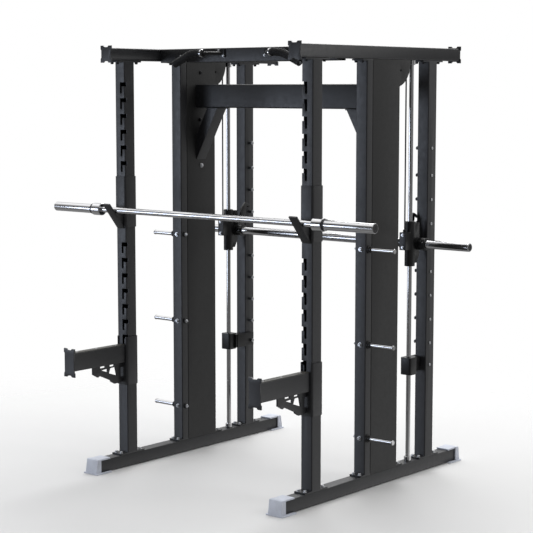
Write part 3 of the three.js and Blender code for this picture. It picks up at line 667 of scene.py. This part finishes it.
def add_tube(built, points, radius, sides=28):
    """Adds a round tube along points, with flat ends."""
    points = [Vector(p) for p in points]
    rings = []
    for i, point in enumerate(points):
        before = points[max(i - 1, 0)]
        after = points[min(i + 1, len(points) - 1)]
        turn = turn_matrix(after - before)
        ring = []
        for k in range(sides):
            angle = 2 * math.pi * k / sides
            offset = turn @ Vector((radius * math.cos(angle), radius * math.sin(angle), 0))
            ring.append(built.verts.new(point + offset))
        rings.append(ring)
    for low, high in zip(rings, rings[1:]):
        for k in range(sides):
            j = (k + 1) % sides
            built.faces.new((low[k], low[j], high[j], high[k]))
    built.faces.new(rings[0][::-1])
    built.faces.new(rings[-1])


def smooth_route(points, steps):
    """A Catmull-Rom curve through the points."""
    points = [Vector(p) for p in points]
    padded = [points[0] * 2 - points[1], *points, points[-1] * 2 - points[-2]]
    route = []
    for i in range(1, len(padded) - 2):
        a, b, c, d = padded[i - 1 : i + 3]
        for k in range(steps):
            t = k / steps
            bend = (2 * a - 5 * b + 4 * c - d) * t**2
            twist = (3 * b - a - 3 * c + d) * t**3
            route.append(0.5 * ((2 * b) + (c - a) * t + bend + twist))
    route.append(points[-1])
    return route


def mirrored_route(points, sign, steps):
    """The smooth curve through points drawn for the right side, on the side that sign says."""
    return [Vector((sign * x, y, z)) for x, y, z in smooth_route(points, steps)]


def pull_up_handle(side, sign):
    """A ribbed grip whose two ends are carried by plates on the front crossbeam."""
    node = f"pull_up_handle_{side}"
    low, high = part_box(node)
    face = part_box("front_crossbeam")[0].y - 0.0003
    radius = 0.0200
    y = low.y + radius + 0.0005
    inner = 0.229
    top = 2.256
    out = (sign, 0, 0)
    route = [(0.243, y, top), (0.270, y, top), (0.300, y, top - 0.002), (0.332, y, top - 0.010),
             (0.384, y, top - 0.033), (0.428, y - 0.001, top - 0.053)]
    points = mirrored_route(route, sign, 6)
    built = bmesh.new()
    add_tube(built, points, radius)
    root = radius - 0.0006
    crest = radius + 0.0007
    rib = [(root, -0.0011), (crest, -0.0004), (crest, 0.0004), (root, 0.0011), (root, -0.0011)]
    for i in range(2, len(points) - 2):
        way = points[i + 1] - points[i - 1]
        for share in (0.25, 0.75):
            add_turned(built, rib, points[i].lerp(points[i + 1], share), way, 28)
    grip = finish_mesh(f"{node}_grip", built, GRIP_RUBBER, "frame")
    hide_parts(node)
    rim = radius + 0.0008
    ring = [(0, 0), (radius - 0.001, 0), (rim, 0.0018), (rim, 0.0062), (radius - 0.001, 0.0078), (0, 0.0078)]
    ring_start = (sign * (inner + 0.005), y, top)
    turned_piece(f"{node}_ring", ring, ring_start, out, CHROME, "frame")
    caps = bmesh.new()
    way = (points[-1] - points[-2]).normalized()
    shell = radius + 0.0004
    outer_cap = [(0, 0), (shell, 0), (shell, 0.006), (radius - 0.0016, 0.008), (0, 0.008)]
    add_turned(caps, outer_cap, points[-1], way, 28)
    inner_cap = [(0, 0), (radius - 0.002, 0), (radius - 0.002, 0.0135), (0, 0.0135)]
    add_turned(caps, inner_cap, (sign * (inner - 0.001), y, top), out, 28)
    finish_mesh(f"{node}_caps", caps, PLASTIC, "frame")
    screw = bmesh.new()
    add_cap_screw(screw, points[-1] + way * 0.008, way, 0.006, 0.0025)
    finish_mesh(f"{node}_end_screw", screw, ZINC, "frame")
    mount = bmesh.new()
    plate_face = face - 0.007
    for near, far, bottom, above in ((0.137, 0.183, 2.235, 2.277), (0.409, 0.459, 2.212, 2.249)):
        left, right = sorted((sign * near, sign * far))
        add_box(mount, (left, plate_face, bottom), (right, face, above))
    neck = [(0.160, face - 0.006, top), (0.166, face - 0.016, top), (0.186, y + 0.034, top),
            (0.212, y + 0.009, top), (0.232, y, top), (0.243, y, top)]
    add_tube(mount, mirrored_route(neck, sign, 5), 0.0085, 20)
    stay = [(0.428, y + 0.004, top - 0.052), (0.430, y + 0.030, top - 0.044),
            (0.434, face - 0.005, top - 0.030)]
    add_tube(mount, mirrored_route(stay, sign, 5), 0.0105, 20)
    finish_mesh(f"{node}_mount", mount, HARDWARE, "frame")
    bolts = bmesh.new()
    for x, z in ((0.143, 2.2415), (0.177, 2.2705), (0.416, 2.2185), (0.452, 2.2425)):
        add_bolt(bolts, (sign * x, plate_face, z), (0, -1, 0), 0.0095, 0.005)
    finish_mesh(f"{node}_bolts", bolts, ZINC, "frame")


for side, sign in SIDES:
    pull_up_handle(side, sign)

# ---------------------------------------------------------------- bolts and small trim

FLANGE_REACH = 0.053
FLANGE = 0.008  # thickness of the plates on the ends of the posts
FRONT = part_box("front_upright_right")[0].y + FLANGE_REACH
PEG_Y = FRONT + 1.019
PEG_HEIGHTS = [0.583, 1.753] + [0.701 + 0.1296 * i for i in range(8)]


def flange_bolts(side, sign):
    """Hex bolts through the end plates of the posts, silver below and black above."""
    silver = bmesh.new()
    dark = bmesh.new()
    post_low, post_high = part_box(f"front_upright_{side}")
    base = post_low.z + FLANGE
    head = post_high.z - FLANGE
    shared = (-0.036, 0.106, 0.415, 0.948, 1.090)
    cover_tab = 0.752
    for x in (TRACK - 0.020, TRACK + 0.020):
        for back in (*shared, cover_tab):
            add_bolt(silver, (sign * x, FRONT + back, base), (0, 0, 1), 0.015, 0.0085)
        for back in shared:
            add_bolt(dark, (sign * x, FRONT + back, head), (0, 0, -1), 0.015, 0.0085)
    finish_mesh(f"base_bolts_{side}", silver, ZINC, "frame")
    finish_mesh(f"head_bolts_{side}", dark, BLACK_BOLT, "frame")


def peg_trim(side, sign):
    """Headed catch pins on the inside of the rear upright, with small bolt heads outside."""
    heads = bmesh.new()
    bolts = bmesh.new()
    low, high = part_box(f"rear_upright_{side}")
    inner, outer = (low.x, high.x) if sign > 0 else (high.x, low.x)
    head = [(0, 0), (0.0095, 0), (0.0102, 0.0007), (0.0102, 0.0030), (0.0092, 0.0042), (0.0045, 0.0046),
            (0.0038, 0.0030), (0, 0.0030)]
    for z in PEG_HEIGHTS:
        add_turned(heads, head, (inner, PEG_Y, z), (-sign, 0, 0), 28)
        add_cap_screw(bolts, (outer, PEG_Y, z), (sign, 0, 0), 0.0078, 0.0022)
    finish_mesh(f"catch_pin_heads_{side}", heads, STEEL, "frame")
    finish_mesh(f"catch_pin_bolts_{side}", bolts, ZINC, "frame")


def mid_post_trim(side, sign):
    """The bolts that hold the storage pegs: a hex head in front, and a stud and nut on the inner face."""
    built = bmesh.new()
    washers = bmesh.new()
    inward = (-sign, 0, 0)
    washer = [(0, 0), (0.0145, 0), (0.0150, 0.0005), (0.0150, 0.0030), (0.0135, 0.0045), (0, 0.0045)]
    stud = [(0, 0), (0.0048, 0), (0.0048, 0.0055), (0.0038, 0.0065), (0, 0.0065)]
    for level in ("top", "middle", "bottom"):
        z = middle(f"storage_peg_{level}_{side}").z
        add_bolt(built, (sign * TRACK, FRONT + 0.437, z), (0, -1, 0), 0.017, 0.009)
        face = Vector((sign * INNER_FACE, FRONT + 0.462, z))
        add_turned(washers, washer, face, inward, 32)
        add_bolt(built, face + Vector(inward) * 0.0045, inward, 0.018, 0.0095, washer=False)
        add_turned(built, stud, face + Vector(inward) * 0.0145, inward, 20)
    finish_mesh(f"storage_bolts_{side}", built, ZINC, "frame")
    finish_mesh(f"storage_washers_{side}", washers, HARDWARE, "frame")


def cover_trim(side, sign):
    """Bolt heads on the inner face of the cover, above and below the middle beam and under the strut."""
    dark = bmesh.new()
    silver = bmesh.new()
    face = sign * INNER_FACE
    for back, z in ((0.600, 2.160), (0.596, 1.896)):
        add_bolt(dark, (face, FRONT + back, z), (-sign, 0, 0), 0.015, 0.006)
    add_bolt(silver, (face, FRONT + 0.606, 1.638), (-sign, 0, 0), 0.017, 0.007)
    finish_mesh(f"cover_bolts_{side}", dark, BLACK_BOLT, "frame")
    finish_mesh(f"strut_bolt_{side}", silver, ZINC, "frame")


def arm_highlight_strip(side, sign):
    """A strip along the top of the spotter arm, lighter grey than the paint as a painted highlight of the lit
    top face; its screws, and the bolts behind the sleeve.
    """
    built = bmesh.new()
    low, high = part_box(f"spotter_arm_{side}")
    middle_x = sign * TRACK
    half_width = 0.0205
    arm_top = 0.678
    strip_top = arm_top + 0.003
    # the strip's lighter grey is a painted highlight along the arm's top
    add_box(built, (middle_x - half_width, low.y + 0.012, arm_top),
            (middle_x + half_width, FRONT - 0.002, strip_top), 0.001)
    finish_mesh(f"spotter_top_highlight_{side}", built, ARM_HIGHLIGHT_STRIP, f"spotter_{side}")
    bolts = bmesh.new()
    for y in (low.y + 0.06, (low.y + FRONT) / 2, FRONT - 0.05):
        add_cap_screw(bolts, (middle_x, y, strip_top), (0, 0, 1), 0.0055, 0.0012)
    for z in (0.52, 0.70):
        add_bolt(bolts, (middle_x, high.y, z), (0, 1, 0), 0.014, 0.007)
    finish_mesh(f"spotter_screws_{side}", bolts, ZINC, f"spotter_{side}")


def carriage_trim(side, sign):
    """Bolts on the cable anchor, the upper rod seal and the ferrule where the cable ends."""
    silver = bmesh.new()
    low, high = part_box(f"carriage_{side}")
    for z in (1.2335, 1.3005):
        add_bolt(silver, (sign * TRACK, low.y, z), (0, -1, 0), 0.012, 0.006)
    finish_mesh(f"carriage_bolts_{side}", silver, ZINC, "smith_carriages")
    dark = bmesh.new()
    seal = [(0.0134, 0), (0.0262, 0), (0.0262, 0.0022), (0.0250, 0.0032), (0.0146, 0.0032), (0.0134, 0.0022),
            (0.0134, 0)]
    add_turned(dark, seal, (sign * TRACK, FRONT + 0.873, high.z), (0, 0, 1), 40)
    ferrule = [(0, 0), (0.0095, 0), (0.0095, 0.010), (0.0075, 0.014), (0.0046, 0.014), (0.0046, 0.002),
               (0, 0.002)]
    add_turned(dark, ferrule, (sign * TRACK, FRONT + 0.825, 1.314), (0, 0, 1), 24)
    finish_mesh(f"carriage_seals_{side}", dark, PLASTIC, "smith_carriages")


for side, sign in SIDES:
    flange_bolts(side, sign)
    peg_trim(side, sign)
    mid_post_trim(side, sign)
    cover_trim(side, sign)
    arm_highlight_strip(side, sign)
    carriage_trim(side, sign)

# ---------------------------------------------------------------- stage, lights and camera


def stage_floor():
    """A pale floor that fades into the white surround away from the machine."""
    built = bmesh.new()
    bmesh.ops.create_circle(built, cap_ends=True, segments=96, radius=80)
    mesh = bpy.data.meshes.new("stage_floor")
    built.to_mesh(mesh)
    built.free()
    floor = bpy.data.objects.new("stage_floor", mesh)
    bpy.context.scene.collection.objects.link(floor)
    material, tree, shader = new_material("Stage_pale", (0.62, 0.62, 0.62), 0.9, specular=0.0)
    length = add_node(tree, "ShaderNodeVectorMath", operation="LENGTH")
    tree.links.new(row_coordinates(tree), length.inputs[0])
    fade = add_node(tree, "ShaderNodeMapRange", interpolation_type="SMOOTHSTEP")
    fade.inputs["From Min"].default_value = 1.3
    fade.inputs["From Max"].default_value = 3.6
    tree.links.new(length.outputs["Value"], fade.inputs["Value"])
    clear = tree.nodes.new("ShaderNodeBsdfTransparent")
    mix = tree.nodes.new("ShaderNodeMixShader")
    tree.links.new(fade.outputs["Result"], mix.inputs[0])
    tree.links.new(shader.outputs[0], mix.inputs[1])
    tree.links.new(clear.outputs[0], mix.inputs[2])
    output = next(n for n in tree.nodes if n.type == "OUTPUT_MATERIAL")
    tree.links.new(mix.outputs[0], output.inputs["Surface"])
    mesh.materials.append(material)
    floor.visible_glossy = False


def step_between(tree, source, low, high, out_low, out_high):
    """A soft step from out_low to out_high while the source goes from low to high."""
    node = add_node(tree, "ShaderNodeMapRange", interpolation_type="SMOOTHSTEP")
    for name, value in (("From Min", low), ("From Max", high), ("To Min", out_low), ("To Max", out_high)):
        node.inputs[name].default_value = value
    tree.links.new(source, node.inputs["Value"])
    return node.outputs["Result"]


def along_direction(tree, direction):
    """How far the ray goes along a direction, from -1 to 1."""
    node = add_node(tree, "ShaderNodeVectorMath", operation="DOT_PRODUCT")
    node.inputs[1].default_value = direction
    tree.links.new(tree.nodes.new("ShaderNodeTexCoord").outputs["Generated"], node.inputs[0])
    return node.outputs["Value"]


def combined(tree, operation, a, b):
    node = add_node(tree, "ShaderNodeMath", operation=operation)
    tree.links.new(a, node.inputs[0])
    tree.links.new(b, node.inputs[1])
    return node.outputs[0]


def world_light():
    """Plain white to the camera; to the surfaces, bright walls behind, dim ones in front with two soft
    strips, a bright ceiling, a dim ground and a pale patch of ground on the right."""
    world = bpy.data.worlds.new("Studio")
    bpy.context.scene.world = world
    world.use_nodes = True
    tree = world.node_tree
    background = tree.nodes["Background"]
    toward_front = along_direction(tree, (0.643, -0.757, 0))
    across = along_direction(tree, (0.757, 0.643, 0))
    up = along_direction(tree, (0, 0, 1))
    walls = step_between(tree, toward_front, -0.55, 0.15, 0.85, WALL_LIGHT)
    ceiling = step_between(tree, up, 0.45, 0.75, 0.0, 0.9)
    right_strip = combined(tree, "MULTIPLY", step_between(tree, across, 0.30, 0.38, 0, 1),
                           step_between(tree, across, 0.52, 0.60, 0.45, 0))
    left_strip = combined(tree, "MULTIPLY", step_between(tree, across, -0.74, -0.66, 0, 1),
                          step_between(tree, across, -0.56, -0.48, 0.35, 0))
    low = step_between(tree, up, 0.30, 0.42, 1, 0)
    strips = combined(tree, "MULTIPLY", combined(tree, "ADD", right_strip, left_strip), low)
    above = combined(tree, "ADD", combined(tree, "ADD", walls, ceiling), strips)
    ground = step_between(tree, up, -0.16, -0.04, 0.12, 1.0)
    below = step_between(tree, up, -0.16, -0.04, 0.2, 0.0)
    total = combined(tree, "ADD", combined(tree, "MULTIPLY", above, ground), below)
    right = step_between(tree, across, 0.6, 0.9, 0, 1)
    right_profile = combined(tree, "ADD", step_between(tree, up, -0.26, -0.18, 1.0, 0),
                             step_between(tree, up, -0.03, 0.04, 0, 0.2))
    total = combined(tree, "ADD", total, combined(tree, "MULTIPLY", right, right_profile))
    path = add_node(tree, "ShaderNodeLightPath")
    seen = add_node(tree, "ShaderNodeMix", data_type="FLOAT")
    tree.links.new(path.outputs["Is Camera Ray"], seen.inputs[0])
    tree.links.new(total, seen.inputs[2])
    seen.inputs[3].default_value = 1.0
    background.inputs["Color"].default_value = (1, 1, 1, 1)
    tree.links.new(seen.outputs[0], background.inputs["Strength"])


def area_light(name, location, target, size, power, colour=(1, 1, 1)):
    """A soft rectangular light that faces its target."""
    data = bpy.data.lights.new(name, "AREA")
    data.shape = "RECTANGLE"
    data.size, data.size_y = size
    data.energy = power
    data.color = colour
    light = bpy.data.objects.new(name, data)
    bpy.context.scene.collection.objects.link(light)
    light.location = location
    light.rotation_mode = "QUATERNION"
    light.rotation_quaternion = (Vector(target) - Vector(location)).to_track_quat("-Z", "Y")


def camera():
    """Looks from the front right, a little above bar height."""
    data = bpy.data.cameras.new("Camera")
    data.lens = 104.84
    data.sensor_width = 36.0
    data.clip_start, data.clip_end = 0.1, 200
    eye = bpy.data.objects.new("Camera", data)
    bpy.context.scene.collection.objects.link(eye)
    eye.location = (5.3894, -6.3548, 2.0619)
    eye.rotation_mode = "QUATERNION"
    eye.rotation_quaternion = Vector((-0.64312, 0.75739, -0.11287)).to_track_quat("-Z", "Y")
    bpy.context.scene.camera = eye


stage_floor()
world_light()
area_light("Key_back_top", (-1.6, 3.4, 6.0), (0, 0, 0.6), (3.6, 3.6), 275)
area_light("Front_left_fill", (-4.2, -5.2, 1.0), (0, 0, 0.6), (2.5, 2.0), 84, (0.76, 0.84, 1.0))
area_light("Right_high_fill", (8.0, 2.0, 5.6), (0, 0, 1.2), (4.0, 4.0), 130, (1.0, 0.99, 0.975))
camera()
bpy.context.scene.view_settings.view_transform = "Standard"

bpy.context.view_layer.update()
